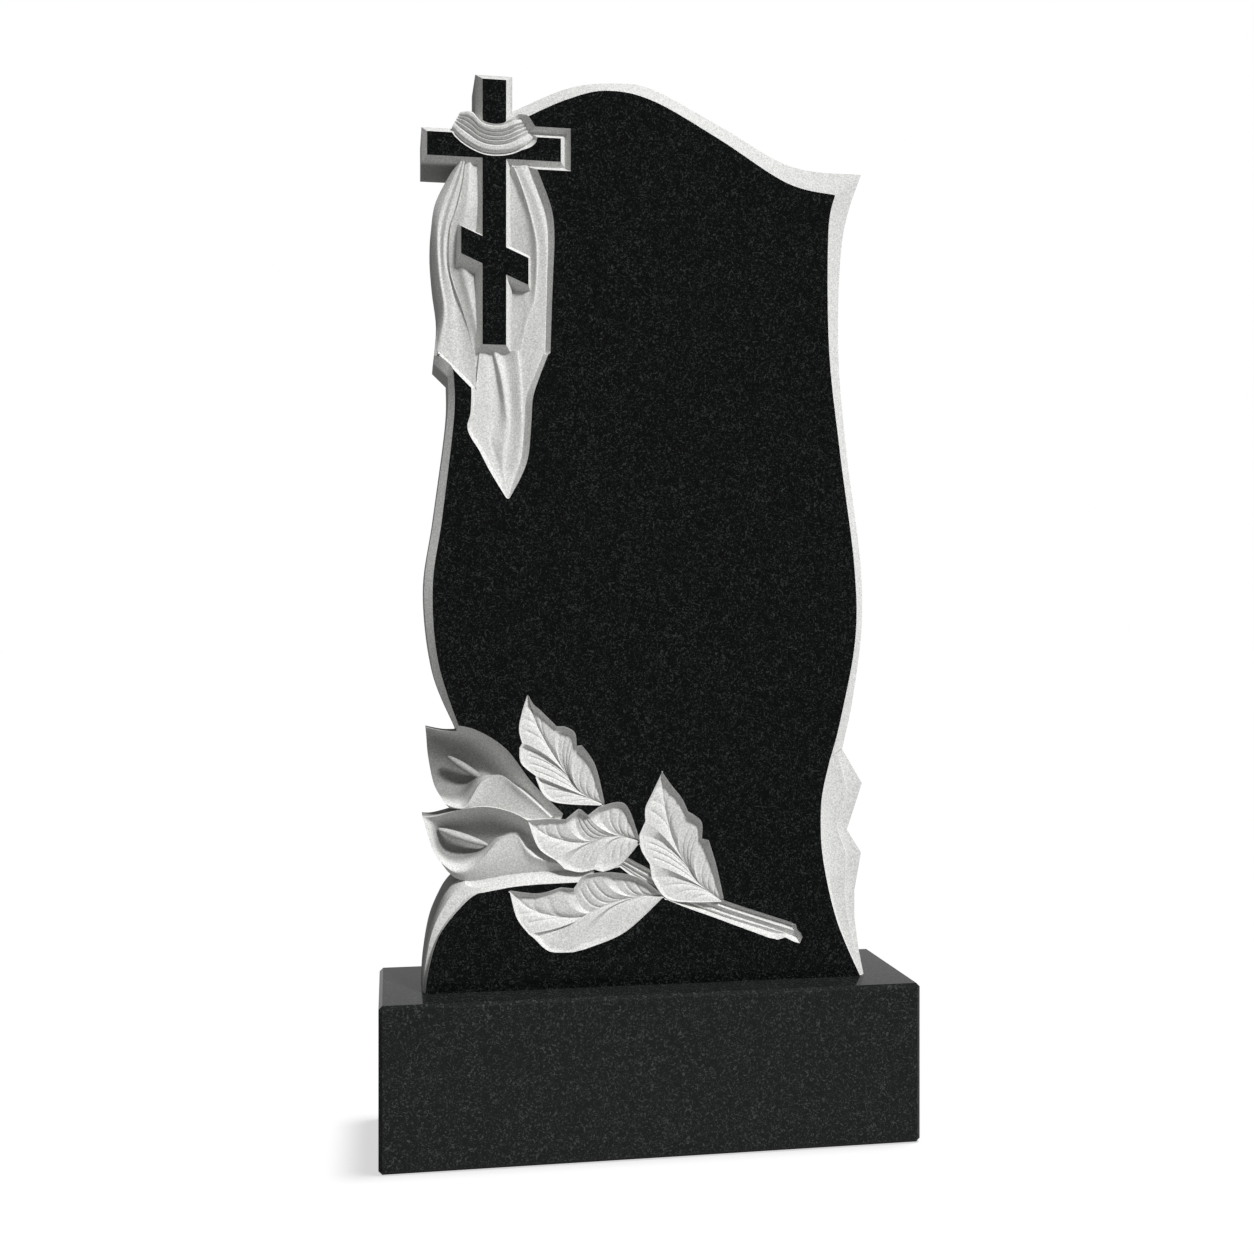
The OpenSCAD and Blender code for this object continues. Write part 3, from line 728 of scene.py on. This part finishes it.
def finish_stele(stone, polished, carved):
    """Gives the flat polished faces and the carved surfaces their finishes."""
    stone.data.materials.clear()
    stone.data.materials.append(polished)
    stone.data.materials.append(carved)
    for face in stone.data.polygons:
        height = (FACE_Y - face.center.y) / MM
        flat = abs(face.normal.y) > FLAT
        level = any(abs(height - polish) < LEVEL for polish in (0, -BAR_SINK, -SLAB_T))
        face.material_index = 0 if flat and level else 1
    deselect()
    stone.select_set(True)
    bpy.context.view_layer.objects.active = stone
    bpy.ops.object.shade_smooth_by_angle(angle=math.radians(SMOOTH_BELOW))
    for face in stone.data.polygons:
        face.use_smooth = face.material_index == 1


# ---- the stage ----

FLOOR_SIZE = 60
KEY_STRENGTH = 4.05
KEY_SPREAD = 10
KEY_TOWARDS = (0.43, -0.59, 0.68)
FLOOR_LAMP_SPREAD = 14
FLOOR_LAMP_TILT = 11
FLOOR_GLOW = 0.62
FLOOR_LIGHT = 0.38
FILL = 0.08
CAMERA_PLACE = (-0.28704, -1.60401, 0.57872)
CAMERA_TURN = 9.463
CAMERA_LENS = 40.68
CAMERA_SENSOR = 36


def seen_white(tree):
    """1 where the camera, a reflection or a clear stone looks at the surface, and 0 for other light."""
    path = add(tree, "ShaderNodeLightPath")
    first = add(tree, "ShaderNodeMath",
                {0: path.outputs["Is Camera Ray"], 1: path.outputs["Is Glossy Ray"]}, operation="MAXIMUM")
    return add(tree, "ShaderNodeMath",
               {0: first.outputs[0], 1: path.outputs["Is Transmission Ray"]}, operation="MAXIMUM").outputs[0]


def make_stage():
    """A plain white floor that keeps the stone's shadow."""
    deselect()
    bpy.ops.mesh.primitive_plane_add(size=FLOOR_SIZE, location=(0, 0, 0))
    floor = bpy.context.object
    floor.name = "floor"
    material, tree = new_material("floor_white")
    matt = add(tree, "ShaderNodeBsdfDiffuse", {"Color": linear("#f0f0f0")})
    glow = add(tree, "ShaderNodeEmission", {"Color": (1, 1, 1, 1), "Strength": FLOOR_GLOW})
    dark = add(tree, "ShaderNodeEmission", {"Color": (0, 0, 0, 1), "Strength": 0})
    lift = add(tree, "ShaderNodeMixShader",
               {0: seen_white(tree), 1: dark.outputs[0], 2: glow.outputs[0]})
    finish_material(tree, add(tree, "ShaderNodeAddShader", {0: matt.outputs[0], 1: lift.outputs[0]}))
    floor.data.materials.append(material)
    return floor


def make_light(stones, floor):
    """Soft studio light: a key on the stones from the upper right, one on the floor, and an even fill."""
    key = bpy.data.lights.new("key", "SUN")
    key.energy = KEY_STRENGTH
    key.angle = math.radians(KEY_SPREAD)
    lamp = bpy.data.objects.new("key", key)
    x, y, z = KEY_TOWARDS
    lamp.rotation_euler = (math.atan2(math.hypot(x, y), z), 0, math.atan2(x, -y))
    bpy.context.scene.collection.objects.link(lamp)
    lit = bpy.data.collections.new("lit_by_key")
    for piece in stones:
        lit.objects.link(piece)
    lamp.light_linking.receiver_collection = lit
    soft = bpy.data.lights.new("floor_light", "SUN")
    soft.energy = FLOOR_LIGHT * math.pi
    soft.angle = math.radians(FLOOR_LAMP_SPREAD)
    above = bpy.data.objects.new("floor_light", soft)
    above.rotation_euler = (0, math.radians(FLOOR_LAMP_TILT), 0)
    bpy.context.scene.collection.objects.link(above)
    ground = bpy.data.collections.new("lit_from_above")
    ground.objects.link(floor)
    above.light_linking.receiver_collection = ground
    shade = bpy.data.collections.new("shades_the_floor")
    shade.objects.link(stones[1])
    above.light_linking.blocker_collection = shade
    world = bpy.data.worlds.new("studio")
    bpy.context.scene.world = world
    world.use_nodes = True
    tree = world.node_tree
    tree.nodes.clear()
    fill = add(tree, "ShaderNodeBackground", {"Color": (1, 1, 1, 1), "Strength": FILL})
    white = add(tree, "ShaderNodeBackground", {"Color": (1, 1, 1, 1), "Strength": 1})
    mixed = add(tree, "ShaderNodeMixShader", {0: seen_white(tree), 1: fill.outputs[0], 2: white.outputs[0]})
    add(tree, "ShaderNodeOutputWorld", {"Surface": mixed.outputs[0]})


def make_camera():
    """A level camera, a little to the left of the stone and turned towards it."""
    camera = bpy.data.cameras.new("camera")
    camera.lens = CAMERA_LENS
    camera.sensor_width = CAMERA_SENSOR
    stand = bpy.data.objects.new("camera", camera)
    stand.location = CAMERA_PLACE
    stand.rotation_euler = (math.radians(90), 0, math.radians(-CAMERA_TURN))
    bpy.context.scene.collection.objects.link(stand)
    bpy.context.scene.camera = stand


# ---- the object ----

polished_face = polished_granite("polished_gabbro", "#0a0b0b", "#313533")
polished_plinth = polished_granite("polished_gabbro_plinth", "#1d1f1e", "#414543")
stele = make_stele()
finish_stele(stele, polished_face, carved_granite())
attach(stele, "root")
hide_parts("stele")

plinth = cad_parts["plinth"]
plinth.data.materials.clear()
plinth.data.materials.append(polished_plinth)

floor = make_stage()
make_light([stele, plinth], floor)
make_camera()
bpy.context.scene.view_settings.view_transform = "Standard"
